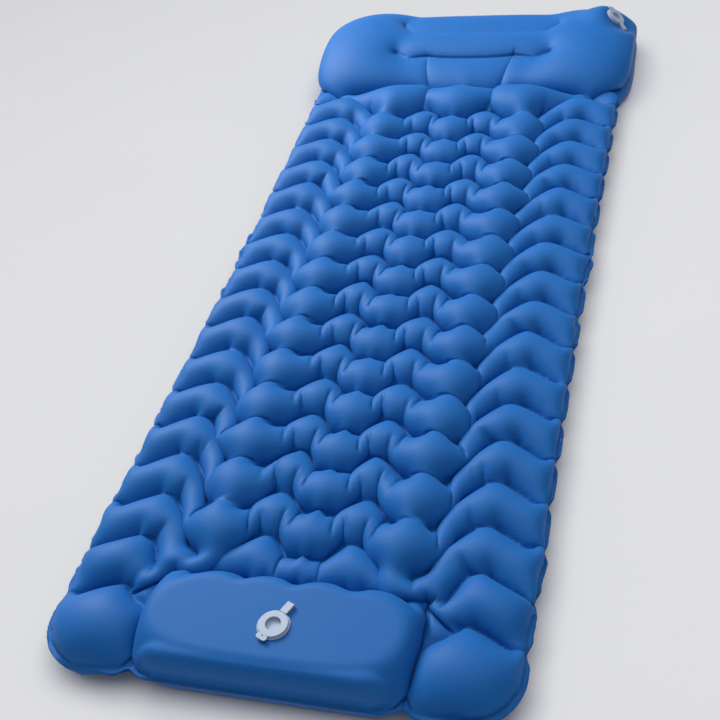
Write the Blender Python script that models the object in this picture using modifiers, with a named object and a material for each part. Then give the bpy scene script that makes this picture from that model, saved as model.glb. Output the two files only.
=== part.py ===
"""Inflatable sleeping mattress with a built-in pillow and a foam foot pump, in metres, +Z up.

The origin is under the middle of the mattress, on the ground. +Y points to the pillow, and the
pump is at the -Y end. Two fabric skins are welded together in the weld plane, round the outline
and round the pump chamber. Valves, snap fasteners and the pump's foam are separate pieces.
"""

import math

import bmesh
import bpy
from mathutils import Matrix, Vector

# Mattress outline
LENGTH = 1.88
END_HALF_WIDTH = 0.360
WAIST_HALF_WIDTH = 0.348
CORNER_RADIUS = 0.085
EDGE_FLANGE = 0.012
SEAM_FLANGE = 0.006

# Skins: heights above and below the weld plane
SKIN = 0.001
GAP = 0.0003
WELD_Z = 0.045
BODY_RISE = 0.045
PILLOW_RISE = 0.080
WALL_RADIUS = 0.050
PILLOW_WALL_RADIUS = 0.075
PILLOW_SEAM_Y = 0.615
PILLOW_SEAM_RADIUS = 0.040
PILLOW_SEAM_DEPTH = 0.65
PILLOW_HOLLOW_Y = 0.735
PILLOW_HOLLOW_DEPTH = 0.38
HOLLOW_HALF_WIDTH = 0.20
HOLLOW_HALF_LENGTH = 0.10
ROW_PITCH = 0.0861
ROW_COUNT = 15
FIRST_ROW_Y = -0.665
ROW_DEPTH = 0.30

# Foot pump chamber
PUMP_HALF_WIDTH = 0.200
PUMP_HEAD_Y = -0.755
PUMP_RISE = 0.046
PUMP_WALL_RADIUS = 0.022
FOAM_HALF_WIDTH = 0.138
FOAM_LOW_Y = -0.910
FOAM_HIGH_Y = -0.812
FOAM_ROUNDING = 0.012

# Valves, each in its own frame: Z is the outward normal, X points along the strap
BASE_RADIUS = 0.0240
BODY_RADIUS = 0.0225
CAP_RADIUS = 0.0215
LAYER = 0.0016
LAYER_CHAMFER = 0.0005
BARREL_RADIUS = 0.0150
BARREL_DEPTH = 0.0110
FLOOR_THICKNESS = 0.0012
COLLAR_WALL = 0.0012
COLLAR_DEPTH = 0.0065
SKIN_HOLE_MARGIN = 0.0018
AIR_HOLE_COUNT = 4
AIR_HOLE_RADIUS = 0.0026
AIR_HOLE_CIRCLE = 0.0068
STEM_HOLE_RADIUS = 0.0016
FLAP_RADIUS = 0.0108
FLAP_THICKNESS = 0.0005
STEM_RADIUS = 0.0012
STEM_LIFT = 0.0022
STEM_HEAD_RADIUS = 0.0026
STEM_HEAD_HEIGHT = 0.0009
PORT_RADIUS = 0.0132
PLUG_RADIUS = 0.0124
PLUG_TAPER = 0.0006
PLUG_WALL = 0.0011
PLUG_DEPTH = 0.0060
STRAP_WIDTH = 0.0115
FOLD_X = 0.0410
TAB_REACH = 0.0290
TAB_HALF_WIDTH = 0.0088
TAB_RADIUS = 0.0042
TAB_NECK_HALF_WIDTH = 0.0058
TAB_HOLE_RADIUS = 0.0012
TAB_HOLE_X = -0.0228
PUMP_VALVE_XY = (0.0056, -0.855)
PUMP_STRAP_DIRECTION = (0.40, 0.917, 0.0)
DEFLATE_VALVE_XY = (0.316, 0.843)
DEFLATE_STRAP_DIRECTION = (0.8, -0.6, 0.0)
DEFLATE_VALVE_LIFT = 0.0022
FOAM_POCKET_MARGIN = 0.0015
FOAM_POCKET_DEPTH = 0.026
TURNED_STEPS = 32

# Snap fasteners along both side flanges
SNAP_COUNT = 6
SNAP_PITCH = 0.230
FIRST_SNAP_Y = -0.655
SNAP_INSET = 0.0055
SNAP_RADIUS = 0.0043
SNAP_CROWN_RADIUS = 0.0030
SNAP_RIM_HEIGHT = 0.0004
SNAP_CROWN_HEIGHT = 0.0012
SNAP_HEIGHT = 0.0014
SNAP_POST_RADIUS = 0.0014
SNAP_POST_PAST = 0.0006
SOCKET_RADIUS = 0.0039
SOCKET_RIM = 0.0010
SOCKET_TIP_RADIUS = 0.0026
SOCKET_DEPTH = 0.0026
SNAP_STEPS = 12

# Check valve between the pump chamber and the main chamber
FILM = 0.0004
FILM_HALF_WIDTH = 0.025
FILM_LENGTH = 0.055
FILM_X = -0.060
FILM_START = 0.0030
FILM_CORNER = 0.008

# How far a cutter reaches past the faces that it cuts
CUT_PAST = 0.002

HALF_LENGTH = LENGTH / 2


def clear_scene():
    for obj in list(bpy.data.objects):
        bpy.data.objects.remove(obj, do_unlink=True)


def new_collection(name):
    made = bpy.data.collections.new(name)
    bpy.context.scene.collection.children.link(made)
    return made


def principled(name, colour, roughness, metallic=0.0):
    material = bpy.data.materials.new(name)
    material.use_nodes = True
    shader = material.node_tree.nodes["Principled BSDF"]
    shader.inputs["Base Color"].default_value = (*colour, 1.0)
    shader.inputs["Roughness"].default_value = roughness
    shader.inputs["Metallic"].default_value = metallic
    material.diffuse_color = (*colour, 1.0)
    return material


def object_from_bmesh(name, bm, material, collection, matrix=None):
    mesh = bpy.data.meshes.new(name)
    bm.to_mesh(mesh)
    bm.free()
    obj = bpy.data.objects.new(name, mesh)
    obj.data.materials.append(material)
    collection.objects.link(obj)
    obj.matrix_world = matrix or Matrix()
    return obj


def hide_cutter(obj):
    obj.hide_render = True
    obj.display_type = "WIRE"
    return obj


def boolean(obj, other, operation):
    modifier = obj.modifiers.new(operation.lower(), "BOOLEAN")
    modifier.operation = operation
    modifier.solver = "EXACT"
    modifier.object = other


# ---------------------------------------------------------------- outline and skin heights


def half_width(y):
    """Half of the outline's width at y: a slight waist, and round corners."""
    side = WAIST_HALF_WIDTH + (END_HALF_WIDTH - WAIST_HALF_WIDTH) * (y / HALF_LENGTH) ** 2
    into_corner = abs(y) - (HALF_LENGTH - CORNER_RADIUS)
    if into_corner <= 0:
        return side
    drop = CORNER_RADIUS - math.sqrt(max(CORNER_RADIUS**2 - into_corner**2, 0.0))
    return side - drop


def inside_outline(x, y):
    """Distance from the outline, inwards."""
    side = WAIST_HALF_WIDTH + (END_HALF_WIDTH - WAIST_HALF_WIDTH) * (y / HALF_LENGTH) ** 2
    past_x = abs(x) - (side - CORNER_RADIUS)
    past_y = abs(y) - (HALF_LENGTH - CORNER_RADIUS)
    if past_x > 0 and past_y > 0:
        return CORNER_RADIUS - math.hypot(past_x, past_y)
    return min(side - abs(x), HALF_LENGTH - abs(y))


def from_pump_seam(x, y):
    """Distance from the weld line round the pump chamber, on either side of it."""
    past_x = abs(x) - PUMP_HALF_WIDTH
    past_y = y - PUMP_HEAD_Y
    if past_x < 0 and past_y < 0:
        return min(-past_x, -past_y)
    return math.hypot(max(past_x, 0.0), max(past_y, 0.0))


def rounded_rise(distance, radius):
    """0 at a weld, 1 at a radius away from it, along a quarter of a circle."""
    share = min(max(distance / radius, 0.0), 1.0)
    return math.sqrt(1 - (1 - share) ** 2)


def wall_rise(x, y, edge_radius, seam_radius=WALL_RADIUS):
    edge = rounded_rise(inside_outline(x, y) - EDGE_FLANGE, edge_radius)
    seam = rounded_rise(from_pump_seam(x, y) - SEAM_FLANGE, seam_radius)
    return min(edge, seam)


def row_valley(y):
    """1 on the weld row between two rows of cells, 0 on a row's crest."""
    rows = (y - FIRST_ROW_Y) / ROW_PITCH
    if rows < -0.25 or rows > ROW_COUNT - 1.25:
        return 0.0
    return 0.5 + 0.5 * math.cos(2 * math.pi * rows)


def pillow_hollow(x, y):
    """1 in the middle of the pillow's hollow for the head, 0 outside it."""
    across = max(0.0, 1 - (x / HOLLOW_HALF_WIDTH) ** 2)
    along = max(0.0, 1 - ((y - PILLOW_HOLLOW_Y) / HOLLOW_HALF_LENGTH) ** 2)
    return across * along


def top_height(x, y):
    seam = rounded_rise(abs(y - PILLOW_SEAM_Y), PILLOW_SEAM_RADIUS)
    seam_share = 1 - PILLOW_SEAM_DEPTH * (1 - seam)
    if y > PILLOW_SEAM_Y:
        crest = PILLOW_RISE * (1 - PILLOW_HOLLOW_DEPTH * pillow_hollow(x, y))
        return WELD_Z + crest * seam_share * wall_rise(x, y, PILLOW_WALL_RADIUS)
    crest = BODY_RISE * (1 - ROW_DEPTH * row_valley(y))
    return WELD_Z + crest * seam_share * wall_rise(x, y, WALL_RADIUS)


def dome_height(x, y):
    return WELD_Z + PUMP_RISE * wall_rise(x, y, PUMP_WALL_RADIUS, PUMP_WALL_RADIUS)


def bottom_height(x, y):
    flange_z = WELD_Z - GAP / 2 - SKIN
    in_pump = abs(x) < PUMP_HALF_WIDTH and y < PUMP_HEAD_Y
    edge_radius = PUMP_WALL_RADIUS if in_pump else WALL_RADIUS
    return flange_z * (1 - wall_rise(x, y, edge_radius))


# ---------------------------------------------------------------- skins


def mirrored(lines):
    return [-value for value in reversed(lines) if value > 0] + lines


def outward_steps(limit, offsets):
    """Grid lines at these distances inside a limit, from the innermost to the limit."""
    return [limit - offset for offset in sorted(offsets, reverse=True)]


WALL_STEPS = [0.0, EDGE_FLANGE, 0.018, 0.030, 0.050]
SEAM_STEPS = [0.0, SEAM_FLANGE, 0.014, 0.034]
X_LINES = mirrored(
    [0.0, 0.075, 0.140]
    + [PUMP_HALF_WIDTH + step for step in SEAM_STEPS]
    + [0.270]
    + outward_steps(END_HALF_WIDTH, WALL_STEPS)
)
PUMP_Y_LINES = [-value for value in reversed(outward_steps(HALF_LENGTH, WALL_STEPS))] + [-0.870]
PUMP_Y_LINES += [-0.815, PUMP_HEAD_Y - 0.030]
HEAD_OF_PUMP_Y_LINES = [PUMP_HEAD_Y + step for step in SEAM_STEPS]
ROW_Y_LINES = [FIRST_ROW_Y + ROW_PITCH * half / 2 for half in range(2 * ROW_COUNT - 1)]
PILLOW_Y_LINES = [PILLOW_SEAM_Y + step for step in (-0.036, -0.014, 0.0, 0.014, 0.036, 0.070)]
PILLOW_Y_LINES += [PILLOW_HOLLOW_Y, 0.780, 0.825, 0.865] + outward_steps(HALF_LENGTH, WALL_STEPS)


def on_outline(x, y):
    """Moves a grid line's outer stretch, past the pump, so that the last line is the outline."""
    fixed = PUMP_HALF_WIDTH + SEAM_FLANGE
    if abs(x) <= fixed:
        return x
    share = (abs(x) - fixed) / (END_HALF_WIDTH - fixed)
    return math.copysign(fixed + share * (half_width(y) - fixed), x)


def skin_sheet(x_lines, y_lines, height, keep=None):
    """A grid sheet raised to its height, without the cells that keep() leaves out."""
    bm = bmesh.new()
    columns, rows = len(x_lines) - 1, len(y_lines) - 1
    bmesh.ops.create_grid(bm, x_segments=columns, y_segments=rows, size=1.0)
    for vert in bm.verts:
        column = round((vert.co.x + 1) / 2 * columns)
        row = round((vert.co.y + 1) / 2 * rows)
        y = y_lines[row]
        x = on_outline(x_lines[column], y)
        vert.co = (x, y, height(x, y))
    if keep:
        unwanted = [face for face in bm.faces if not keep(face.calc_center_median())]
        bmesh.ops.delete(bm, geom=unwanted, context="FACES")
    return bm


def thicken(obj, thickness, offset):
    modifier = obj.modifiers.new("thickness", "SOLIDIFY")
    modifier.thickness = thickness
    modifier.offset = offset
    return obj


def outside_pump(centre):
    return abs(centre.x) > PUMP_HALF_WIDTH or centre.y > PUMP_HEAD_Y


def make_top_skin(parts, fabric):
    y_lines = PUMP_Y_LINES + HEAD_OF_PUMP_Y_LINES + ROW_Y_LINES + PILLOW_Y_LINES
    bm = skin_sheet(X_LINES, y_lines, top_height, outside_pump)
    bmesh.ops.translate(bm, vec=(0, 0, GAP / 2), verts=bm.verts)
    return thicken(object_from_bmesh("top_skin", bm, fabric, parts), SKIN, 1.0)


def make_bottom_skin(parts, fabric):
    body_lines = [FIRST_ROW_Y + ROW_PITCH * row for row in (1, 4, 7, 10, 13)]
    head_lines = [PILLOW_SEAM_Y, 0.750, 0.850] + outward_steps(HALF_LENGTH, WALL_STEPS)
    near_seam = [PUMP_HEAD_Y - SEAM_FLANGE]
    y_lines = PUMP_Y_LINES + near_seam + HEAD_OF_PUMP_Y_LINES + body_lines + head_lines
    inside_seam = [PUMP_HALF_WIDTH - step for step in (0.056, 0.030, SEAM_FLANGE)]
    x_lines = sorted(set(X_LINES) - {0.140, -0.140})
    x_lines = sorted(x_lines + inside_seam + [-value for value in inside_seam])
    bm = skin_sheet(x_lines, y_lines, bottom_height)
    bmesh.ops.reverse_faces(bm, faces=bm.faces)
    return thicken(object_from_bmesh("bottom_skin", bm, fabric, parts), SKIN, -1.0)


def make_pump_dome(parts, fabric):
    seam_steps = [SKIN / 2, SEAM_FLANGE, 0.012, 0.022, 0.036]
    half = [0.0, 0.045, 0.090, 0.130] + outward_steps(PUMP_HALF_WIDTH, seam_steps)
    y_lines = outward_steps(PUMP_HEAD_Y, seam_steps)
    front = [-HALF_LENGTH + step for step in (0.0, EDGE_FLANGE, 0.016, 0.023, 0.042)]
    bm = skin_sheet(mirrored(half), front + [-0.865, -0.830] + y_lines, dome_height)
    bmesh.ops.translate(bm, vec=(0, 0, GAP / 2), verts=bm.verts)
    return thicken(object_from_bmesh("pump_dome_skin", bm, fabric, parts), SKIN, 1.0)


# ---------------------------------------------------------------- turned pieces and slabs


def turned(name, profile, material, collection, matrix, steps=TURNED_STEPS, ring=True):
    """A profile of (radius, height) points turned about Z. A ring's profile is a closed loop."""
    bm = bmesh.new()
    verts = [bm.verts.new((radius, 0.0, height)) for radius, height in profile]
    for first, second in zip(verts, verts[1:], strict=False):
        bm.edges.new((first, second))
    if ring:
        bm.edges.new((verts[-1], verts[0]))
    obj = object_from_bmesh(name, bm, material, collection, matrix)
    screw = obj.modifiers.new("turn", "SCREW")
    screw.axis = "Z"
    screw.angle = 2 * math.pi
    screw.steps = steps
    screw.render_steps = steps
    screw.use_merge_vertices = True
    screw.merge_threshold = 0.00001
    return obj


def slab(name, outline, thickness, material, collection, matrix):
    """A flat outline in XY, extruded up by its thickness."""
    bm = bmesh.new()
    face = bm.faces.new([bm.verts.new((x, y, 0.0)) for x, y in outline])
    bm.normal_update()
    if face.normal.z > 0:
        face.normal_flip()
    grown = bmesh.ops.extrude_face_region(bm, geom=[face])["geom"]
    lifted = [item for item in grown if isinstance(item, bmesh.types.BMVert)]
    bmesh.ops.translate(bm, vec=(0, 0, thickness), verts=lifted)
    bmesh.ops.recalc_face_normals(bm, faces=bm.faces)
    return object_from_bmesh(name, bm, material, collection, matrix)


def arc(centre_x, centre_y, radius, start, end, points):
    """Points along an arc, from the start angle to the end angle, in degrees."""
    angles = [math.radians(start + (end - start) * i / (points - 1)) for i in range(points)]
    return [(centre_x + radius * math.cos(t), centre_y + radius * math.sin(t)) for t in angles]


def disc(name, radius, low, high, material, collection, matrix, steps=SNAP_STEPS):
    profile = [(0.0, high), (radius, high), (radius, low), (0.0, low)]
    return turned(name, profile, material, collection, matrix, steps, ring=False)


def valve_frame(point, normal, strap_direction):
    """The valve's frame: Z is the skin's normal and X the strap's direction along the skin."""
    z_axis = Vector(normal).normalized()
    x_axis = Vector(strap_direction)
    x_axis = (x_axis - z_axis * x_axis.dot(z_axis)).normalized()
    y_axis = z_axis.cross(x_axis)
    rotation = Matrix((x_axis, y_axis, z_axis)).transposed().to_4x4()
    return Matrix.Translation(Vector(point)) @ rotation


# ---------------------------------------------------------------- valves

BASE_LOW = GAP
BASE_HIGH = BASE_LOW + LAYER
BODY_LOW = BASE_HIGH + GAP
BODY_HIGH = BODY_LOW + LAYER
CAP_LOW = BODY_HIGH + GAP
CAP_HIGH = CAP_LOW + LAYER
BODY_FLOOR = BODY_HIGH - BARREL_DEPTH


def layer_rim(radius, low, high):
    """The outer edge of one of the valve's layers, chamfered above and below."""
    return [
        (radius - LAYER_CHAMFER, high),
        (radius, high - LAYER_CHAMFER),
        (radius, low + LAYER_CHAMFER),
        (radius - LAYER_CHAMFER, low),
    ]


def make_valve_base(name, rubber, parts, frame):
    """The flange welded on the skin, with a collar that goes down through it."""
    collar = BARREL_RADIUS + COLLAR_WALL
    profile = layer_rim(BASE_RADIUS, BASE_LOW, BASE_HIGH) + [
        (collar, BASE_LOW),
        (collar, BASE_LOW - COLLAR_DEPTH),
        (BARREL_RADIUS + GAP, BASE_LOW - COLLAR_DEPTH),
        (BARREL_RADIUS + GAP, BASE_HIGH),
    ]
    return turned(name, profile, rubber, parts, frame)


def make_valve_body(name, rubber, parts, cutters, frame):
    """The middle layer: a cup whose floor has air ports round a hole for the flap's stem."""
    profile = layer_rim(BODY_RADIUS, BODY_LOW, BODY_HIGH) + [
        (BARREL_RADIUS, BODY_LOW),
        (BARREL_RADIUS, BODY_FLOOR),
        (STEM_HOLE_RADIUS, BODY_FLOOR),
        (STEM_HOLE_RADIUS, BODY_FLOOR + FLOOR_THICKNESS),
        (PORT_RADIUS, BODY_FLOOR + FLOOR_THICKNESS),
        (PORT_RADIUS, BODY_HIGH),
    ]
    body = turned(name, profile, rubber, parts, frame)
    low, high = BODY_FLOOR - CUT_PAST, BODY_FLOOR + FLOOR_THICKNESS + CUT_PAST
    for number in range(AIR_HOLE_COUNT):
        angle = 2 * math.pi * (number + 0.5) / AIR_HOLE_COUNT
        around = Matrix.Rotation(angle, 4, "Z")
        place = frame @ around @ Matrix.Translation((AIR_HOLE_CIRCLE, 0, 0))
        hole_name = f"{name}_port_{number + 1}"
        port = disc(hole_name, AIR_HOLE_RADIUS, low, high, rubber, cutters, place)
        boolean(body, hide_cutter(port), "DIFFERENCE")
    return body


def make_valve_flap(name, rubber, parts, frame):
    """A mushroom flap under the ports, held by its stem's head above the floor."""
    disc_top = BODY_FLOOR - GAP
    head_low = BODY_FLOOR + FLOOR_THICKNESS + STEM_LIFT
    profile = [
        (0.0, head_low + STEM_HEAD_HEIGHT),
        (STEM_HEAD_RADIUS - STEM_HEAD_HEIGHT / 2, head_low + STEM_HEAD_HEIGHT),
        (STEM_HEAD_RADIUS, head_low),
        (STEM_RADIUS, head_low),
        (STEM_RADIUS, disc_top),
        (FLAP_RADIUS, disc_top),
        (FLAP_RADIUS, disc_top - FLAP_THICKNESS),
        (0.0, disc_top - 2 * FLAP_THICKNESS),
    ]
    return turned(name, profile, rubber, parts, frame, ring=False)


def make_valve_cap(name, rubber, parts, cutters, frame):
    """The top layer: a rim with a hollow plug in its middle and a thumb tab with a small hole."""
    plug_low = CAP_HIGH - PLUG_DEPTH - PLUG_WALL
    profile = [
        (0.0, CAP_HIGH - PLUG_DEPTH),
        (PLUG_RADIUS - PLUG_WALL, CAP_HIGH - PLUG_DEPTH),
        (PLUG_RADIUS - PLUG_WALL, CAP_HIGH),
    ]
    profile += layer_rim(CAP_RADIUS, CAP_LOW, CAP_HIGH)
    profile += [
        (PLUG_RADIUS, CAP_LOW),
        (PLUG_RADIUS - PLUG_TAPER, plug_low),
        (0.0, plug_low),
    ]
    cap = turned(name, profile, rubber, parts, frame, ring=False)
    end = -(TAB_REACH - TAB_RADIUS)
    side = TAB_HALF_WIDTH - TAB_RADIUS
    root = -(PLUG_RADIUS + CAP_RADIUS) / 2
    outline = arc(end, side, TAB_RADIUS, 45, 180, 6)
    outline += arc(end, -side, TAB_RADIUS, 180, 315, 6)
    outline += [(root, -TAB_NECK_HALF_WIDTH), (root, TAB_NECK_HALF_WIDTH)]
    inset = LAYER_CHAMFER / 2
    lift = frame @ Matrix.Translation((0, 0, CAP_LOW + inset))
    tab = slab(f"{name}_tab", outline, LAYER - 2 * inset, rubber, cutters, lift)
    boolean(cap, hide_cutter(tab), "UNION")
    place = frame @ Matrix.Translation((TAB_HOLE_X, 0, 0))
    low, high = CAP_LOW - CUT_PAST, CAP_HIGH + CUT_PAST
    hole = disc(f"{name}_hole", TAB_HOLE_RADIUS, low, high, rubber, cutters, place)
    boolean(cap, hide_cutter(hole), "DIFFERENCE")
    return cap


def make_strap(name, rubber, parts, frame):
    """The strap: out from the base, round a fold, and back to the cap above."""
    outer = (CAP_HIGH - BASE_LOW) / 2
    inner = outer - LAYER
    middle = (CAP_HIGH + BASE_LOW) / 2
    bend_x = FOLD_X - outer
    outline = [(BASE_RADIUS + GAP, BASE_LOW)]
    outline += arc(bend_x, middle, outer, -90, 90, 9)
    outline += [(CAP_RADIUS + GAP, CAP_HIGH), (CAP_RADIUS + GAP, CAP_LOW)]
    outline += arc(bend_x, middle, inner, 90, -90, 7)
    outline += [(BASE_RADIUS + GAP, BASE_HIGH)]
    # The outline stands in the frame's XZ plane, and is extruded across the strap.
    upright = Matrix.Rotation(math.radians(90), 4, "X")
    place = frame @ Matrix.Translation((0, STRAP_WIDTH / 2, 0)) @ upright
    return slab(name, outline, STRAP_WIDTH, rubber, parts, place)


def make_valve(place, parts, cutters, rubber, frame):
    make_valve_base(f"{place}_valve_base", rubber, parts, frame)
    make_valve_body(f"{place}_valve_body", rubber, parts, cutters, frame)
    make_valve_flap(f"{place}_valve_flap", rubber, parts, frame)
    make_valve_cap(f"{place}_valve_cap", rubber, parts, cutters, frame)
    make_strap(f"{place}_valve_strap", rubber, parts, frame)


def cut_valve_hole(skin, name, frame, radius, low, high, material, cutters):
    cutter = disc(name, radius, low, high, material, cutters, frame, steps=TURNED_STEPS)
    boolean(skin, hide_cutter(cutter), "DIFFERENCE")


def make_pump(parts, cutters, fabric, foam, rubber):
    dome = make_pump_dome(parts, fabric)
    x, y = PUMP_VALVE_XY
    crest = WELD_Z + PUMP_RISE + GAP / 2 + SKIN
    frame = valve_frame((x, y, crest), (0, 0, 1), PUMP_STRAP_DIRECTION)
    hole_radius = BARREL_RADIUS + SKIN_HOLE_MARGIN
    cut_valve_hole(dome, "pump_skin_hole", frame, hole_radius, -0.01, 0.01, fabric, cutters)

    foam_low = SKIN + 2 * GAP
    foam_high = WELD_Z + PUMP_RISE + GAP / 2 - GAP
    bm = bmesh.new()
    bmesh.ops.create_cube(bm, size=1.0)
    width, depth = 2 * FOAM_HALF_WIDTH, FOAM_HIGH_Y - FOAM_LOW_Y
    bmesh.ops.scale(bm, vec=(width, depth, foam_high - foam_low), verts=bm.verts)
    centre = Matrix.Translation((0, (FOAM_HIGH_Y + FOAM_LOW_Y) / 2, (foam_high + foam_low) / 2))
    block = object_from_bmesh("pump_foam_core", bm, foam, parts, centre)
    bevel = block.modifiers.new("rounding", "BEVEL")
    bevel.width = FOAM_ROUNDING
    bevel.segments = 2
    pocket_radius = hole_radius + FOAM_POCKET_MARGIN
    pocket_low = -FOAM_POCKET_DEPTH
    cut_valve_hole(block, "pump_foam_pocket", frame, pocket_radius, pocket_low, 0.02, foam, cutters)

    make_valve("pump", parts, cutters, rubber, frame)


def make_deflate_valve(top_skin, parts, cutters, rubber):
    """The same valve again, on the pillow's rear corner, square to its skin."""
    x, y = DEFLATE_VALVE_XY
    step = 0.012
    slope_x = (top_height(x + step, y) - top_height(x - step, y)) / (2 * step)
    slope_y = (top_height(x, y + step) - top_height(x, y - step)) / (2 * step)
    normal = Vector((-slope_x, -slope_y, 1.0)).normalized()
    point = Vector((x, y, top_height(x, y) + GAP / 2 + SKIN)) + normal * DEFLATE_VALVE_LIFT
    frame = valve_frame(point, normal, DEFLATE_STRAP_DIRECTION)
    hole_radius = BARREL_RADIUS + SKIN_HOLE_MARGIN
    cut_valve_hole(
        top_skin, "deflate_skin_hole", frame, hole_radius, -0.02, 0.01, rubber, cutters
    )
    make_valve("deflate", parts, cutters, rubber, frame)


# ---------------------------------------------------------------- snaps and films


def make_snaps(skins, parts, cutters, rubber):
    """Press snaps: caps on the right flange's top with studs under it, and sockets on the left."""
    lower_name = {"left": "snap_socket_left", "right": "snap_stud_right"}
    top = WELD_Z + GAP / 2 + SKIN + GAP
    under = WELD_Z - GAP / 2 - SKIN - GAP
    for number in range(1, SNAP_COUNT + 1):
        y = FIRST_SNAP_Y + SNAP_PITCH * (number - 1)
        for side, sign in (("left", -1), ("right", 1)):
            x = sign * (half_width(y) - SNAP_INSET)
            place = Matrix.Translation((x, y, 0))
            cap_profile = [
                (0.0, top + SNAP_HEIGHT),
                (SNAP_CROWN_RADIUS, top + SNAP_CROWN_HEIGHT),
                (SNAP_RADIUS, top + SNAP_RIM_HEIGHT),
                (SNAP_RADIUS, top),
                (SNAP_POST_RADIUS, top),
                (SNAP_POST_RADIUS, under - SNAP_POST_PAST),
                (0.0, under - SNAP_POST_PAST),
            ]
            cap_name = f"snap_cap_{side}_{number}"
            turned(cap_name, cap_profile, rubber, parts, place, SNAP_STEPS, ring=False)
            ring_in = SNAP_POST_RADIUS + GAP
            lower_profile = [
                (SOCKET_RADIUS, under),
                (SOCKET_RADIUS, under - SOCKET_RIM),
                (SOCKET_TIP_RADIUS, under - SOCKET_DEPTH),
                (ring_in, under - SOCKET_DEPTH),
                (ring_in, under),
            ]
            turned(f"{lower_name[side]}_{number}", lower_profile, rubber, parts, place, SNAP_STEPS)
            hole_name = f"snap_hole_{side}_{number}"
            low, high = under - CUT_PAST, top + CUT_PAST
            hole = disc(hole_name, ring_in, low, high, rubber, cutters, place)
            hide_cutter(hole)
            for skin in skins:
                boolean(skin, hole, "DIFFERENCE")


def make_check_valve(parts, film):
    """Two films that lie on each other past the pump's seam and let air through one way only."""
    start = PUMP_HEAD_Y + SEAM_FLANGE + FILM_START
    across, along = FILM_HALF_WIDTH - FILM_CORNER, FILM_LENGTH - FILM_CORNER
    bottom = WELD_Z - FILM - GAP / 2
    heights = {"check_valve_lower_film": bottom, "check_valve_upper_film": WELD_Z + GAP / 2}
    for name, low in heights.items():
        outline = [(-FILM_HALF_WIDTH, 0.0), (FILM_HALF_WIDTH, 0.0)]
        outline += arc(across, along, FILM_CORNER, 0, 90, 4)
        outline += arc(-across, along, FILM_CORNER, 90, 180, 4)
        slab(name, outline, FILM, film, parts, Matrix.Translation((FILM_X, start, low)))


def main():
    clear_scene()
    parts = new_collection("air_mattress")
    cutters = new_collection("air_mattress_cutters")
    fabric = principled("coated_nylon", (0.036, 0.130, 0.430), 0.45)
    foam = principled("pump_foam", (0.62, 0.60, 0.52), 0.95)
    rubber = principled("valve_silicone", (0.47, 0.58, 0.70), 0.35)
    film = principled("check_valve_film", (0.75, 0.80, 0.85), 0.30)

    top_skin = make_top_skin(parts, fabric)
    bottom_skin = make_bottom_skin(parts, fabric)
    make_pump(parts, cutters, fabric, foam, rubber)
    make_deflate_valve(top_skin, parts, cutters, rubber)
    make_check_valve(parts, film)
    make_snaps((top_skin, bottom_skin), parts, cutters, rubber)


main()
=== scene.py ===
"""Looks of the inflatable mattress, in metres, in the CAD frame: +Z up, +Y towards the pillow.

Both skins are flat fabric patterns welded along short bars, round the outline and round the pump.
A small position-based simulation inflates the upper pattern; the lower one is its mirror image,
pressed flat by the ground. The valves and snaps stay on their CAD places.
"""

import math

import bmesh
import bpy
import numpy as np
from mathutils import Matrix, Vector


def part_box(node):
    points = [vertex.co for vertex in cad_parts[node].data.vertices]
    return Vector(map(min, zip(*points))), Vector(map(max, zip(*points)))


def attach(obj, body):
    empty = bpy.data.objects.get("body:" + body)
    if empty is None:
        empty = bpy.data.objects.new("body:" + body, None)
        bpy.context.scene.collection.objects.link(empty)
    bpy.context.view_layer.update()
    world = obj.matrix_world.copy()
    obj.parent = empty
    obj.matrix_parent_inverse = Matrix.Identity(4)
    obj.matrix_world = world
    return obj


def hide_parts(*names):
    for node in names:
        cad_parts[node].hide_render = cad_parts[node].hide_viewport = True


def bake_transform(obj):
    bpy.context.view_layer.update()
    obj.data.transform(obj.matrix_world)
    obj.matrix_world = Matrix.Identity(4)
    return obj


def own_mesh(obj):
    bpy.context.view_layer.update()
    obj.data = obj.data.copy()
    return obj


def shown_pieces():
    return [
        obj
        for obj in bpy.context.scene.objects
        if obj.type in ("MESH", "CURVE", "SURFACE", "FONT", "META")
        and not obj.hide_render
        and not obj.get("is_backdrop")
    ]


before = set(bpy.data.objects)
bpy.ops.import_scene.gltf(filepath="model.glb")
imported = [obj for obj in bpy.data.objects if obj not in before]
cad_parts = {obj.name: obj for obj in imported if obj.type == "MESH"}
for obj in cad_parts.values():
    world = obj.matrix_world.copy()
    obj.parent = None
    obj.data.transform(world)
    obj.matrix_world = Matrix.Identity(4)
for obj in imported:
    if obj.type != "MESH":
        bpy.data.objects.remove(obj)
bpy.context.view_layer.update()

# The CAD model's own sizes
_, SKIN_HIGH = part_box("bottom_skin")
_, DOME_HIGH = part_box("pump_dome_skin")
HALF_LENGTH = SKIN_HIGH.y
END_HALF_WIDTH = SKIN_HIGH.x
WAIST_DEPTH = 0.012
WAIST_HALF_WIDTH = END_HALF_WIDTH - WAIST_DEPTH
CORNER_RADIUS = 0.085
WELD_Z = 0.045
PUMP_HALF_WIDTH = DOME_HIGH.x
PUMP_HEAD_Y = DOME_HIGH.y
PILLOW_SEAM_Y = 0.615

# The skins' thickness, crests, edges and rounded dome
SKIN = 0.0008
FLANGE = 0.010
FLANGE_SHARE = 0.999
BODY_RISE = 0.047
PILLOW_RISE = 0.077
GROUND_CLEARANCE = 0.0012
SCALLOP = 0.007
BULGE = 0.008
DOME_SIDE_RADIUS = 0.055
DOME_HEAD_RADIUS = 0.050
DOME_FRONT_RADIUS = 0.024
DOME_ROUNDING = 0.008

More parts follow.
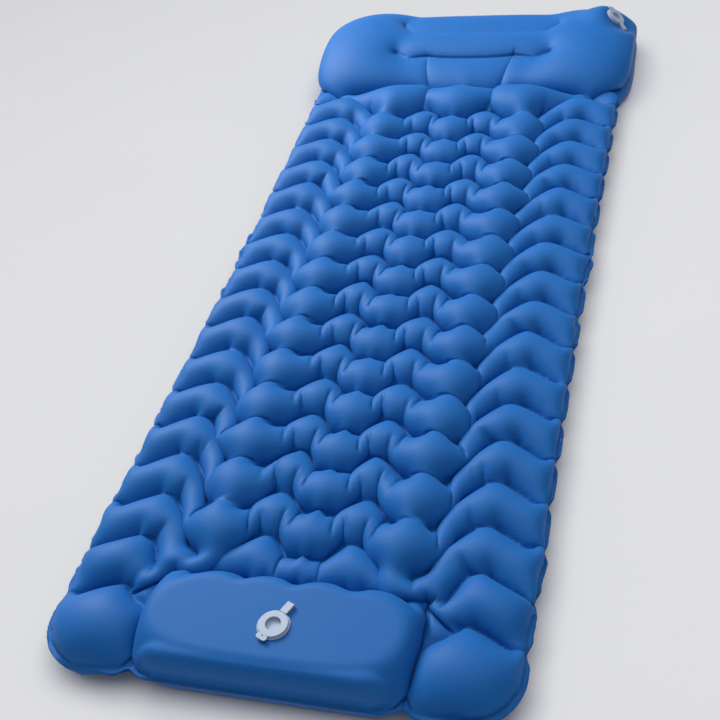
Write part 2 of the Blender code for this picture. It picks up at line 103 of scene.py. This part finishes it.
# Valves, each seen along its own axis
VALVE_GAP = 0.0003
VALVE_RIM_RADIUS = 0.020
VALVE_HOLE_RADIUS = 0.0175
VALVE_HOLE_DEPTH = 0.015
VALVE_SEAT_RADIUS = 0.027
VALVE_SEAT_REACH = 0.075
VALVE_SEAT_HEIGHT = 0.060

# Weld bars that divide the body into cells, given beside each row's middle
ROW_PITCH = 0.0861
ROW_COUNT = 15
FIRST_ROW_Y = -0.671
SCALLOPS_START_Y = PUMP_HEAD_Y - ROW_PITCH * 1.5
INNER_BAR = ((0.008, -0.036), (0.030, -0.036), (0.060, -0.008))
MIDDLE_BAR = ((0.076, -0.008), (0.106, -0.033), (0.124, -0.034))
OUTER_BAR = ((0.170, -0.034), (0.188, -0.024), (0.259, 0.052))
EDGE_BAR = ((0.276, 0.052), (0.322, 0.024))
PUMP_SIDE_BAR = ((0.216, 0.010), (0.258, 0.052))
PILLOW_SEAM_GAPS = (0.250, 0.1065, 0.000)
PILLOW_SEAM_GAP = 0.023
PILLOW_SEAM_END = 0.335
PILLOW_LINE = ((-0.172, 0.034), (-0.145, 0.004), (0.145, 0.004), (0.172, 0.034))
PILLOW_LINES_Y = (0.700, 0.800)
PILLOW_LINES_HEIGHT = (0.092, 0.100)
PUMP_NOTCH = 0.012
PUMP_NOTCH_PITCH = 0.070
PUMP_NOTCH_X = 0.010
FRONT_NOTCH = 0.012
FRONT_NOTCH_WIDTH = 0.014

# Inflation: how much larger the flat pattern is than the inflated mattress
STRETCH_X = (1.06, 1.25, 1.06)
STRETCH_Y = (1.10, 1.17, 1.14)
STRETCH_BLEND = 0.030
SEED = 1
START_HEIGHT = 0.01
START_NOISE = 2e-4
# Cell size, steps and air pressure of each finer grid in turn
LEVELS = ((0.012, 400, 3e-4), (0.007, 260, 1.8e-4), (0.0045, 200, 1.2e-4))
SETTLING_STEPS = 40
KEPT_SPEED = 0.96
SETTLING_SPEED = 0.7

# Fitting to the CAD: the height share that counts as the crest, and roundings of its limits
CREST_PERCENTILE = 99.7
GROUND_ROUNDING = 0.006
SEAM_REACH = 0.030
SNAP_COUNT = 6
SNAP_PULL_CORE = 0.010
SNAP_PULL_REACH = 0.040


# ---------------------------------------------------------------- flat pattern


def side_half_width(y):
    """Half width of the mattress at y, without the round corners."""
    return WAIST_HALF_WIDTH + (END_HALF_WIDTH - WAIST_HALF_WIDTH) * (y / HALF_LENGTH) ** 2


def half_width(y):
    """Half width of the mattress at y, with its round corners."""
    into = np.clip(np.abs(y) - (HALF_LENGTH - CORNER_RADIUS), 0, CORNER_RADIUS)
    return side_half_width(y) - CORNER_RADIUS + np.sqrt(CORNER_RADIUS**2 - into**2)


ZONE_ENDS = np.array([-HALF_LENGTH, PUMP_HEAD_Y, PILLOW_SEAM_Y, HALF_LENGTH])
ZONE_FLAT_ENDS = np.concatenate([[0.0], np.cumsum(np.diff(ZONE_ENDS) * STRETCH_Y)])


def flat_y(y):
    """Place along the flat pattern of the inflated place y."""
    return np.interp(y, ZONE_ENDS, ZONE_FLAT_ENDS)


def real_y(v):
    """Inflated place of the place v along the flat pattern."""
    return np.interp(v, ZONE_FLAT_ENDS, ZONE_ENDS)


def stretch_x(y):
    """The pattern is wider than the mattress by this much, which changes smoothly at both seams."""
    ends = (
        PUMP_HEAD_Y - STRETCH_BLEND,
        PUMP_HEAD_Y + STRETCH_BLEND,
        PILLOW_SEAM_Y - STRETCH_BLEND,
        PILLOW_SEAM_Y + STRETCH_BLEND,
    )
    pump, body, pillow = STRETCH_X
    return np.interp(y, ends, (pump, body, body, pillow))


def pattern_grid(cell):
    """Flat coordinates u, v and inflated target places x, y of a regular grid of that cell size."""
    rows = round(ZONE_FLAT_ENDS[-1] / cell) + 1
    columns = 2 * round(max(STRETCH_X) * END_HALF_WIDTH / cell) + 1
    v = np.repeat(np.linspace(0, ZONE_FLAT_ENDS[-1], rows)[:, None], columns, axis=1)
    y = real_y(v)
    share = np.linspace(-1, 1, columns)[None, :] * np.ones((rows, 1))
    straight = np.abs(share) * END_HALF_WIDTH
    inner = PUMP_HALF_WIDTH + FLANGE
    spread = (straight - inner) / (END_HALF_WIDTH - inner)
    bent = inner + spread * (half_width(y) - inner)
    x = np.sign(share) * np.where(straight <= inner, straight, bent)
    return x * stretch_x(y), v, x, y


def weld_bars():
    """Every weld line inside the outline, as an array of its corner points."""
    bars = []

    def both_sides(bar, row_y):
        for side in (-1, 1):
            bars.append(np.array([(side * x, row_y + y) for x, y in bar]))

    for row in range(-2, ROW_COUNT):
        row_y = FIRST_ROW_Y + ROW_PITCH * row
        if row_y + OUTER_BAR[-1][1] < PILLOW_SEAM_Y - FLANGE:
            both_sides(PUMP_SIDE_BAR if row < 0 else OUTER_BAR, row_y)
            both_sides(EDGE_BAR, row_y)
        if row >= 0:
            both_sides(INNER_BAR, row_y)
            both_sides(MIDDLE_BAR, row_y)
    outer = PILLOW_SEAM_END
    for gap in PILLOW_SEAM_GAPS:
        inner = gap + PILLOW_SEAM_GAP / 2
        both_sides(((inner, PILLOW_SEAM_Y), (outer, PILLOW_SEAM_Y)), 0.0)
        outer = gap - PILLOW_SEAM_GAP / 2
    for y in PILLOW_LINES_Y:
        bars.append(np.array(PILLOW_LINE) + (0, y))
    return bars


def distance_to_segment(u, v, start, end):
    along = end - start
    t = np.clip(((u - start[0]) * along[0] + (v - start[1]) * along[1]) / (along @ along), 0, 1)
    return np.hypot(u - start[0] - t * along[0], v - start[1] - t * along[1])


def distance_from_edge(x, y):
    """Distance from the outline, inwards."""
    width = side_half_width(y)
    px = np.abs(x) - (width - CORNER_RADIUS)
    py = np.abs(y) - (HALF_LENGTH - CORNER_RADIUS)
    straight = np.minimum(width - np.abs(x), HALF_LENGTH - np.abs(y))
    return np.where((px > 0) & (py > 0), CORNER_RADIUS - np.hypot(px, py), straight)


def distance_outside_pump(x, y):
    """Signed distance from the pump chamber's seam, negative inside the chamber."""
    tucks = np.cos(2 * math.pi * (x - PUMP_NOTCH_X) / PUMP_NOTCH_PITCH)
    px = np.abs(x) - PUMP_HALF_WIDTH
    py = y - PUMP_HEAD_Y + PUMP_NOTCH * np.maximum(tucks, 0) ** 3
    outside = np.hypot(np.maximum(px, 0), np.maximum(py, 0))
    return np.where((px < 0) & (py < 0), np.maximum(px, py), outside)


# ---------------------------------------------------------------- inflation


class Pattern:
    """The upper skin as a grid of points, with its edges kept at their flat length."""

    BEND = 0.004
    SHEAR = 0.5
    SHEAR_SQUEEZE = 0.2
    COMPRESSION = 0.5
    BAR_PULL = 0.3
    EDGE_PULL = 0.15
    PUMP_PULL = 0.04
    GATHER = 0.04
    BAR_HALF_WIDTH = 0.0028
    SEAM_HALF_WIDTH = 0.003
    CELL_SHARE = 0.55
    FREE_EDGE_CELLS = 1.3

    def __init__(self, cell, places):
        self.cell = cell
        self.u, self.v, self.x, self.y = pattern_grid(cell)
        self.points = places.astype(np.float32)
        self.velocity = np.zeros_like(self.points)
        edge = distance_from_edge(self.x, self.y)
        self.flange = edge < FLANGE * FLANGE_SHARE
        free_edge = edge < FLANGE - self.FREE_EDGE_CELLS * cell
        row_phase = 2 * math.pi * (self.y - EDGE_BAR[1][1] - FIRST_ROW_Y) / ROW_PITCH
        rows_beside = (self.y > SCALLOPS_START_Y) & (self.y < PILLOW_SEAM_Y)
        notch = SCALLOP * np.maximum(np.cos(row_phase), 0) ** 2 * rows_beside
        self.edge_x = self.x - np.sign(self.x) * notch
        corner = (np.abs(self.x) - PUMP_HALF_WIDTH) / FRONT_NOTCH_WIDTH
        self.edge_y = self.y + FRONT_NOTCH * np.exp(-(corner**2)) * (self.y < PUMP_HEAD_Y)
        self.pump_gap = distance_outside_pump(self.x, self.y)
        self.find_bars()
        seam_half_width = max(self.SEAM_HALF_WIDTH, self.CELL_SHARE * cell)
        self.pump_seam = (np.abs(self.pump_gap) < seam_half_width) & ~self.flange
        self.welded = (self.bar >= 0) | self.pump_seam
        self.pinned = self.welded | (self.flange & ~free_edge)
        self.pressed = np.where(self.flange, 0, 1).astype(np.float32)
        self.make_edges()

    def find_bars(self):
        """Which weld bar each point lies on, and its distance from the nearest one."""
        bar_half_width = max(self.BAR_HALF_WIDTH, self.CELL_SHARE * self.cell)
        self.bar = np.full(self.u.shape, -1)
        self.bar_distance = np.full(self.u.shape, 1.0)
        centres = []
        self.pin_height = np.zeros(self.u.shape, np.float32)
        for index, corners in enumerate(weld_bars()):
            centre = corners.mean(0)
            flat_centre = np.array([centre[0] * stretch_x(centre[1]), flat_y(centre[1])])
            flat_corners = corners - centre + flat_centre
            for start, end in zip(flat_corners[:-1], flat_corners[1:]):
                distance = distance_to_segment(self.u, self.v, start, end)
                self.bar_distance = np.minimum(self.bar_distance, distance)
                self.bar[(distance < bar_half_width) & ~self.flange] = index
            if centre[1] > PILLOW_SEAM_Y + FLANGE:
                nearest = np.argmin(np.abs(np.array(PILLOW_LINES_Y) - centre[1]))
                self.pin_height[self.bar == index] = PILLOW_LINES_HEIGHT[nearest]
            centres.append(centre)
        self.bar_centres = np.array(centres, np.float32)
        self.bar_points = np.nonzero(self.bar.ravel() >= 0)[0]
        self.bar_of_point = self.bar.ravel()[self.bar_points]
        counts = np.bincount(self.bar_of_point, minlength=len(centres))
        self.bar_counts = np.maximum(counts, 1)

    def make_edges(self):
        """Edges in groups that share no point, each with its length and two stiffnesses."""
        rows, columns = self.u.shape
        everything = slice(None)
        self.edges = []

        def add(a, b, stretch, squeeze):
            length = np.hypot(self.u[b] - self.u[a], self.v[b] - self.v[a])
            kept = np.where(self.welded[a] & self.welded[b], stretch, squeeze)
            kept = np.where(self.flange[a] & self.flange[b], self.GATHER, kept)
            self.edges.append(
                (a, b, length.astype(np.float32), 0.5 * stretch, 0.5 * kept.astype(np.float32))
            )

        def every_other(start, count):
            pairs = (count - start) // 2
            first = slice(start, start + 2 * pairs, 2)
            second = slice(start + 1, start + 2 * pairs, 2)
            return first, second

        for start in (0, 1):
            first, second = every_other(start, columns)
            add((everything, first), (everything, second), 1.0, self.COMPRESSION)
            first, second = every_other(start, rows)
            add((first, everything), (second, everything), 1.0, self.COMPRESSION)
            left, right = slice(0, columns - 1), slice(1, columns)
            add((first, left), (second, right), self.SHEAR, self.SHEAR_SQUEEZE)
            add((first, right), (second, left), self.SHEAR, self.SHEAR_SQUEEZE)

    def keep_lengths(self):
        """Moves both ends of each edge that is too long or too short, weakly when too short."""
        for a, b, length, stretch, squeeze in self.edges:
            first = self.points[(slice(None),) + a]
            second = self.points[(slice(None),) + b]
            gap = second - first
            size = np.sqrt(gap[0] * gap[0] + gap[1] * gap[1] + gap[2] * gap[2]) + 1e-9
            change = (size - length) / size
            gap *= change * np.where(change > 0, stretch, squeeze).astype(np.float32)
            first += gap
            second -= gap

    def normals(self):
        """Outward normals, each as long as its cell is large."""
        du = np.gradient(self.points, axis=2)
        dv = np.gradient(self.points, axis=1)
        return np.cross(du, dv, axis=0)

    def smooth_bends(self):
        """Takes out a little of the skin's bending, measured as the Laplacian of its Laplacian."""
        inner = (slice(None), slice(1, -1), slice(1, -1))
        curve = np.zeros_like(self.points)
        curve[inner] = neighbours(self.points) - 4 * self.points[inner]
        correction = neighbours(curve) - 4 * curve[inner]
        self.points[inner] -= np.float32(self.BEND) * correction

    def hold_places(self):
        """Weld bars stay where the rows are, and the outline and pump seam stay near theirs."""
        flat = self.points.reshape(3, -1)
        for axis in (0, 1):
            values = flat[axis][self.bar_points]
            sums = np.bincount(self.bar_of_point, values, minlength=len(self.bar_counts))
            shift = self.BAR_PULL * (self.bar_centres[:, axis] - sums / self.bar_counts)
            flat[axis][self.bar_points] = values + shift[self.bar_of_point].astype(np.float32)
        for held, pull in ((self.flange, self.EDGE_PULL), (self.pump_seam, self.PUMP_PULL)):
            for axis, place in ((0, self.edge_x), (1, self.edge_y)):
                self.points[axis][held] += pull * (place[held] - self.points[axis][held])

    def step(self, force, keep_speed):
        """One step of the air's push, with the welds on the weld plane throughout."""
        before = self.points.copy()
        push = force / self.cell**2 * self.pressed
        self.points += (keep_speed * self.velocity + push * self.normals()).astype(np.float32)
        self.points[2][self.pinned] = self.pin_height[self.pinned]
        self.keep_lengths()
        self.points[2][self.pinned] = self.pin_height[self.pinned]
        self.hold_places()
        self.smooth_bends()
        self.points[2][self.pinned] = self.pin_height[self.pinned]
        inner = ~self.flange
        self.points[2][inner] = np.maximum(self.points[2][inner], 0)
        self.velocity = self.points - before


def neighbours(grid):
    """Sum of the four neighbours of every inner point."""
    across = grid[:, 1:-1, 2:] + grid[:, 1:-1, :-2]
    return across + grid[:, 2:, 1:-1] + grid[:, :-2, 1:-1]


def resample(places, shape):
    """The places, read off at a finer grid's points."""
    for axis, count in ((1, shape[0]), (2, shape[1])):
        old = places.shape[axis]
        at = np.linspace(0, old - 1, count)
        low = np.minimum(at.astype(int), old - 2)
        part = (at - low).reshape([-1 if a == axis else 1 for a in range(3)])
        lower, upper = np.take(places, low, axis), np.take(places, low + 1, axis)
        places = lower * (1 - part) + upper * part
    return places


def inflate():
    """The inflated upper skin, with z measured from the weld plane."""
    random = np.random.default_rng(SEED)
    levels = LEVELS
    pattern = None
    for cell, steps, force in levels:
        _, _, x, y = pattern_grid(cell)
        places = np.stack([x, y, np.full_like(x, START_HEIGHT)])
        if pattern:
            places = resample(pattern.points, x.shape)
        places[2] += random.normal(0, START_NOISE, x.shape)
        pattern = Pattern(cell, places)
        for _ in range(steps):
            pattern.step(force, KEPT_SPEED)
        for _ in range(SETTLING_STEPS):
            pattern.step(force, SETTLING_SPEED)
    return pattern


# ---------------------------------------------------------------- fitting to the CAD


def smoothstep(t):
    t = np.clip(t, 0, 1)
    return t * t * (3 - 2 * t)


def soft_limit(value, limit, rounding):
    """The smaller of value and limit, rounded where the two meet."""
    gap = np.clip(0.5 + 0.5 * (limit - value) / rounding, 0, 1)
    return limit + (value - limit) * gap - rounding * gap * (1 - gap)


def fit_to_cad(pattern):
    """Scales the simulated skin to the CAD's outline and heights."""
    x, y, z = pattern.points.astype(float)
    x = np.sign(x) * soft_limit(np.abs(x), END_HALF_WIDTH + BULGE, BULGE)
    y = np.sign(y) * soft_limit(np.abs(y), HALF_LENGTH + BULGE, BULGE)
    body = (pattern.y > PUMP_HEAD_Y) & (pattern.y < PILLOW_SEAM_Y)
    pillow = pattern.y > PILLOW_SEAM_Y
    body_share = BODY_RISE / np.percentile(z[body], CREST_PERCENTILE)
    pillow_share = PILLOW_RISE / np.percentile(z[pillow], CREST_PERCENTILE)
    z = z * np.where(pillow, pillow_share, body_share)
    return np.stack([x, y, z])


def level_pump(points, pattern):
    """The pump's dome is held flat by its foam, over a rounded panel."""
    panel = DOME_HIGH.z - WELD_Z - SKIN
    inside = pattern.pump_gap < 0
    x, y, z = points
    foam_low, foam_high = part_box("pump_foam_core")
    across = np.maximum(np.abs(x) - foam_high.x, 0) / DOME_SIDE_RADIUS
    front = np.maximum(foam_low.y - y, 0) / DOME_FRONT_RADIUS
    head = np.maximum(y - foam_high.y, 0) / DOME_HEAD_RADIUS
    share = np.clip(np.sqrt(across**2 + front**2 + head**2), 0, 1)
    held = panel * np.sqrt(1 - share**2)
    z[inside] = soft_limit(np.maximum(z, held), panel, DOME_ROUNDING)[inside]


def pull_near(points, centre, shift, core, reach):
    """Moves the points near a place by shift, fading out from core to reach."""
    distance = np.sqrt(((points - np.array(centre)[:, None, None]) ** 2).sum(0))
    weight = smoothstep((reach - distance) / (reach - core))
    points += weight * np.array(shift)[:, None, None]


def seat_snaps(points, pattern):
    """The flange passes through each snap fastener's place."""
    for side in ("left", "right"):
        for index in range(1, SNAP_COUNT + 1):
            low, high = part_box(f"snap_cap_{side}_{index}")
            middle = (low + high) / 2
            place = np.array((middle.x, middle.y, 0.0))
            offset = np.hypot(pattern.x - middle.x, pattern.y - middle.y)
            row, column = np.unravel_index(np.argmin(offset), offset.shape)
            here = points[:, row, column]
            pull_near(points, here, place - here, SNAP_PULL_CORE, SNAP_PULL_REACH)


def seat_deflate_valve(points):
    """The pillow's skin lies flat under the deflate valve."""
    _, normal = valve_frame("deflate")
    lifted = points + np.array((0, 0, WELD_Z + SKIN))[:, None, None]
    radial, height = from_valve(lifted, "deflate")
    weight = smoothstep((VALVE_SEAT_REACH - radial) / (VALVE_SEAT_REACH - VALVE_SEAT_RADIUS))
    weight *= np.abs(height) < VALVE_SEAT_HEIGHT
    points -= weight * (height + VALVE_GAP) * np.array(normal)[:, None, None]


def valve_frame(kind):
    """(origin on the skin, outward normal) of a valve, from its CAD base disc."""
    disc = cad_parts[f"{kind}_valve_base"]
    places = np.array([disc.matrix_world @ vert.co for vert in disc.data.vertices])
    centre = places.mean(0)
    _, _, axes = np.linalg.svd(places - centre, full_matrices=False)
    normal = axes[2] * np.sign(axes[2][2])
    height = (places - centre) @ normal
    radial = np.sqrt(np.maximum(((places - centre) ** 2).sum(1) - height**2, 0))
    low = height[radial > VALVE_RIM_RADIUS].min()
    return Vector(centre + normal * (low - VALVE_GAP)), Vector(normal)


def from_valve(points, kind):
    """Distance of each point from a valve's axis, and its height above the valve's origin."""
    origin, normal = valve_frame(kind)
    offset = points - np.array(origin)[:, None, None]
    height = np.tensordot(np.array(normal), offset, 1)
    return np.sqrt(np.maximum((offset**2).sum(0) - height**2, 0)), height


def cell_centres(grid):
    return (grid[..., :-1, :-1] + grid[..., 1:, 1:] + grid[..., :-1, 1:] + grid[..., 1:, :-1]) / 4


def inside_valve_hole(points, kind):
    """The cells that a valve's hole takes out of the skin, under the rim of its base disc."""
    radial, height = from_valve(cell_centres(points), kind)
    return (radial < VALVE_HOLE_RADIUS) & (np.abs(height) < VALVE_HOLE_DEPTH)


# ---------------------------------------------------------------- meshes


def new_object(name, mesh, *materials):
    obj = bpy.data.objects.new(name, mesh)
    for material in materials:
        mesh.materials.append(material)
    bpy.context.scene.collection.objects.link(obj)
    return obj


def grid_mesh(name, points, pattern, chosen, flip=False):
    """A mesh of the grid's chosen cells, with the flat pattern as its UV map."""
    rows, columns = pattern.u.shape
    index = np.arange(rows * columns).reshape(rows, columns)
    corners = np.stack([index[:-1, :-1], index[:-1, 1:], index[1:, 1:], index[1:, :-1]], -1)
    faces = corners[chosen]
    if flip:
        faces = faces[:, ::-1]
    used, faces = np.unique(faces, return_inverse=True)
    faces = faces.reshape(-1, 4)
    places = points.reshape(3, -1).T[used]
    mesh = bpy.data.meshes.new(name)
    mesh.from_pydata(places.tolist(), [], faces.tolist())
    flat = np.stack([pattern.u.ravel()[used], pattern.v.ravel()[used]], -1)
    uv = mesh.uv_layers.new(name="flat_pattern")
    uv.data.foreach_set("uv", flat[faces.ravel()].astype(np.float32).ravel())
    seam = mesh.attributes.new("seam", "FLOAT", "POINT")
    seam.data.foreach_set("value", seam_closeness(pattern).ravel()[used].astype(np.float32))
    mesh.shade_smooth()
    return mesh


def seam_closeness(pattern):
    """1 on a weld and 0 from SEAM_REACH away, for the puckers that run into it."""
    edge = distance_from_edge(pattern.x, pattern.y) - FLANGE
    nearest = np.minimum(np.minimum(pattern.bar_distance, np.abs(pattern.pump_gap)), edge)
    return smoothstep(1 - nearest / SEAM_REACH)


def thicken(obj, thickness, offset):
    solid = obj.modifiers.new("thickness", "SOLIDIFY")
    solid.thickness = thickness
    solid.offset = offset


def lower_points(points):
    """The lower skin mirrors the upper one and lies flat on the ground."""
    below = points.copy()
    depth = soft_limit(np.maximum(points[2], 0), WELD_Z - GROUND_CLEARANCE, GROUND_ROUNDING)
    below[2] = np.where(points[2] > 0, -depth, points[2])
    return below


def make_skins(fabric, painted_shade_under_fabric):
    pattern = inflate()
    points = fit_to_cad(pattern)
    level_pump(points, pattern)
    seat_snaps(points, pattern)
    seat_deflate_valve(points)
    below = lower_points(points)
    points[2] += WELD_Z + SKIN
    below[2] += WELD_Z - SKIN
    gap = (pattern.pump_gap[:-1, :-1] + pattern.pump_gap[1:, 1:]) / 2

    of_top = (gap > 0) & ~inside_valve_hole(points, "deflate")
    of_dome = (gap <= 0) & ~inside_valve_hole(points, "pump")
    top = new_object("air_chamber_upper_skin", grid_mesh("upper", points, pattern, of_top), fabric)
    dome = new_object("pump_dome_fabric", grid_mesh("dome", points, pattern, of_dome), fabric)
    everywhere = np.ones_like(gap, bool)
    # The lower skin takes the darker copy of the fabric, whose colour is painted shade.
    bottom = new_object(
        "air_chamber_lower_skin", grid_mesh("lower", below, pattern, everywhere, True), painted_shade_under_fabric
    )
    for obj in (top, dome, bottom):
        thicken(obj, SKIN, -1)
    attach(top, "mattress")
    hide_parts("top_skin")
    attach(bottom, "mattress")
    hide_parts("bottom_skin")
    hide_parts("pump_dome_skin")
    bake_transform(dome)


# ---------------------------------------------------------------- materials


def shader_of(material):
    material.use_nodes = True
    return material.node_tree.nodes["Principled BSDF"]


def node(material, kind, inputs=None, **settings):
    """A new node with its settings, and inputs that are values or other nodes' outputs."""
    made = material.node_tree.nodes.new(kind)
    for name, value in settings.items():
        setattr(made, name, value)
    for name, value in (inputs or {}).items():
        if isinstance(value, bpy.types.NodeSocket):
            material.node_tree.links.new(value, made.inputs[name])
        else:
            made.inputs[name].default_value = value
    return made


def link(material, output, target):
    material.node_tree.links.new(output, target)


def mixed_colour(material, factor, first, second):
    mix = node(material, "ShaderNodeMix", data_type="RGBA")
    link(material, factor, mix.inputs["Factor"])
    mix.inputs["A"].default_value = (*first, 1)
    mix.inputs["B"].default_value = (*second, 1)
    return mix.outputs["Result"]


def fabric_material(name, deep, light):
    """Coated nylon: a fine plain weave, faint colour drift, and puckers that run into the welds."""
    material = bpy.data.materials.new(name)
    shader = shader_of(material)
    place = node(material, "ShaderNodeTexCoord").outputs["Object"]
    drift = node(material, "ShaderNodeTexNoise", {"Vector": place, "Scale": 9.0, "Detail": 3.0})
    colour = mixed_colour(material, drift.outputs["Fac"], deep, light)
    link(material, colour, shader.inputs["Base Color"])

    flat = node(material, "ShaderNodeUVMap", uv_map="flat_pattern").outputs["UV"]
    weave = None
    for direction in ("X", "Y"):
        threads = node(
            material,
            "ShaderNodeTexWave",
            {"Vector": flat, "Scale": 520.0, "Distortion": 0.4},
            bands_direction=direction,
        )
        if weave is None:
            weave = threads.outputs["Fac"]
            continue
        both = node(material, "ShaderNodeMath", operation="MULTIPLY")
        link(material, weave, both.inputs[0])
        link(material, threads.outputs["Fac"], both.inputs[1])
        weave = both.outputs["Value"]

    seam = node(material, "ShaderNodeAttribute", attribute_name="seam").outputs["Fac"]
    pucker = node(
        material, "ShaderNodeTexNoise", {"Vector": place, "Scale": 70.0, "Detail": 2.0}
    ).outputs["Fac"]
    drawn = node(material, "ShaderNodeMath", operation="MULTIPLY")
    link(material, seam, drawn.inputs[0])
    link(material, pucker, drawn.inputs[1])
    wrinkles = node(material, "ShaderNodeBump", {"Strength": 0.35, "Distance": 0.004})
    link(material, drawn.outputs["Value"], wrinkles.inputs["Height"])
    threads = node(material, "ShaderNodeBump", {"Strength": 0.25, "Distance": 0.00012})
    link(material, weave, threads.inputs["Height"])
    link(material, wrinkles.outputs["Normal"], threads.inputs["Normal"])
    link(material, threads.outputs["Normal"], shader.inputs["Normal"])

    rough = node(material, "ShaderNodeMapRange", {"To Min": 0.50, "To Max": 0.62})
    link(material, drift.outputs["Fac"], rough.inputs["Value"])
    link(material, rough.outputs["Result"], shader.inputs["Roughness"])
    shader.inputs["Specular IOR Level"].default_value = 0.21
    shader.inputs["Sheen Weight"].default_value = 0.03
    shader.inputs["Sheen Roughness"].default_value = 0.45
    return material


def moulded_material(name, deep, light, roughness, grain, bump):
    """A moulded plastic, rubber or foam with a fine grain."""
    material = bpy.data.materials.new(name)
    shader = shader_of(material)
    place = node(material, "ShaderNodeTexCoord").outputs["Object"]
    cloud = node(material, "ShaderNodeTexNoise", {"Vector": place, "Scale": grain / 12})
    link(
        material,
        mixed_colour(material, cloud.outputs["Fac"], deep, light),
        shader.inputs["Base Color"],
    )
    fine = node(material, "ShaderNodeTexNoise", {"Vector": place, "Scale": grain, "Detail": 4.0})
    raised = node(material, "ShaderNodeBump", {"Strength": 0.3, "Distance": bump})
    link(material, fine.outputs["Fac"], raised.inputs["Height"])
    link(material, raised.outputs["Normal"], shader.inputs["Normal"])
    rough = node(
        material,
        "ShaderNodeMapRange",
        {"To Min": roughness - 0.05, "To Max": roughness + 0.05},
    )
    link(material, cloud.outputs["Fac"], rough.inputs["Value"])
    link(material, rough.outputs["Result"], shader.inputs["Roughness"])
    return material


def repaint(material, *names):
    for name in names:
        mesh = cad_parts[name].data
        mesh.materials.clear()
        mesh.materials.append(material)


# ---------------------------------------------------------------- small pieces


def copy_of(node_name, name, material):
    """A piece that starts as a CAD node's mesh."""
    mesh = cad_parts[node_name].data.copy()
    mesh.materials.clear()
    return new_object(name, mesh, material)


def make_foam(material):
    foam = copy_of("pump_foam_core", "pump_foam_block", material)
    for polygon in foam.data.polygons:
        polygon.use_smooth = True
    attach(foam, "mattress")
    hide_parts("pump_foam_core")
    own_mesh(foam)


def make_straps(material):
    """Each cap's strap, as a copy of its CAD mesh in its CAD place."""
    for kind, fixed, moving in (
        ("pump", "pump_panel", "pump_cap"),
        ("deflate", "mattress", "deflate_cap"),
    ):
        strap = copy_of(f"{kind}_valve_strap", f"{kind}_cap_strap", material)
        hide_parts(f"{kind}_valve_strap")
        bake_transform(strap)


# ---------------------------------------------------------------- stage


CAMERA_PLACE = Vector((0.5414, -1.6778, 1.4135))
CAMERA_TARGET = Vector((-0.0435, -0.2245, 0.0))
CAMERA_ROLL = -11.48
CAMERA_LENS = 57.95


def make_camera():
    data = bpy.data.cameras.new("camera")
    data.lens = CAMERA_LENS
    data.sensor_width = 36
    camera = bpy.data.objects.new("camera", data)
    bpy.context.scene.collection.objects.link(camera)
    aim = (CAMERA_TARGET - CAMERA_PLACE).to_track_quat("-Z", "Y").to_matrix().to_4x4()
    roll = Matrix.Rotation(math.radians(CAMERA_ROLL), 4, "Z")
    camera.matrix_world = Matrix.Translation(CAMERA_PLACE) @ aim @ roll
    bpy.context.scene.camera = camera


def area_light(name, place, size, power):
    """An area light that faces the object's middle."""
    data = bpy.data.lights.new(name, "AREA")
    data.size = size
    data.energy = power
    light = bpy.data.objects.new(name, data)
    bpy.context.scene.collection.objects.link(light)
    light.location = place
    light.rotation_euler = (-light.location).to_track_quat("-Z", "Y").to_euler()
    return light


def make_stage():
    """A pale floor, and lights that are separate for the object and for the floor."""
    bm = bmesh.new()
    bmesh.ops.create_grid(bm, x_segments=8, y_segments=8, size=8)
    mesh = bpy.data.meshes.new("floor")
    bm.to_mesh(mesh)
    bm.free()
    paint = moulded_material(
        "floor_paint", (0.64, 0.64, 0.645), (0.66, 0.66, 0.665), 0.85, 40.0, 0.0001
    )
    floor = new_object("floor", mesh, paint)
    floor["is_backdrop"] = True
    lit = bpy.data.collections.new("object_lights")
    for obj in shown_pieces():
        lit.objects.link(obj)
    key = area_light("key", (-2.3, 1.9, 2.3), 1.8, 150)
    top = area_light("top", (0.2, 0.6, 3.2), 3.0, 40)
    for light in (key, top):
        light.light_linking.receiver_collection = lit
    under = bpy.data.collections.new("floor_lights")
    under.objects.link(floor)
    overhead = area_light("overhead", (0, 0, 4.5), 6.0, 276)
    overhead.light_linking.receiver_collection = under
    world = bpy.data.worlds.new("studio")
    world.use_nodes = True
    background = world.node_tree.nodes["Background"]
    background.inputs["Color"].default_value = (0.93, 0.95, 1.0, 1)
    background.inputs["Strength"].default_value = 0.30
    bpy.context.scene.world = world
    bpy.context.scene.view_settings.view_transform = "Standard"


def main():
    make_camera()
    fabric = fabric_material("blue_coated_nylon", (0.005, 0.119, 0.415), (0.008, 0.140, 0.465))
    # The underside gets a darker copy of the same blue fabric: painted shade for the lower skin,
    # which lies in shade under the mattress.
    under = fabric_material(
        "blue_coated_nylon_underside_painted_shade", (0.008, 0.100, 0.36), (0.012, 0.118, 0.40)
    )
    silicone = moulded_material(
        "grey_blue_silicone", (0.38, 0.47, 0.62), (0.44, 0.53, 0.67), 0.42, 900.0, 0.00008
    )
    plastic = moulded_material(
        "blue_snap_plastic", (0.020, 0.10, 0.36), (0.03, 0.13, 0.42), 0.35, 900.0, 0.00008
    )
    film = moulded_material(
        "clear_blue_film", (0.25, 0.34, 0.46), (0.30, 0.40, 0.52), 0.30, 600.0, 0.00005
    )
    foam = moulded_material(
        "grey_pump_foam", (0.30, 0.31, 0.33), (0.36, 0.37, 0.39), 0.9, 700.0, 0.0006
    )
    make_skins(fabric, under)
    make_foam(foam)
    make_straps(silicone)
    for kind in ("pump", "deflate"):
        repaint(silicone, *(f"{kind}_valve_{part}" for part in ("base", "body", "cap", "flap")))
    repaint(film, "check_valve_lower_film", "check_valve_upper_film")
    repaint(plastic, *(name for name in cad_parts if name.startswith("snap_")))
    make_stage()


main()
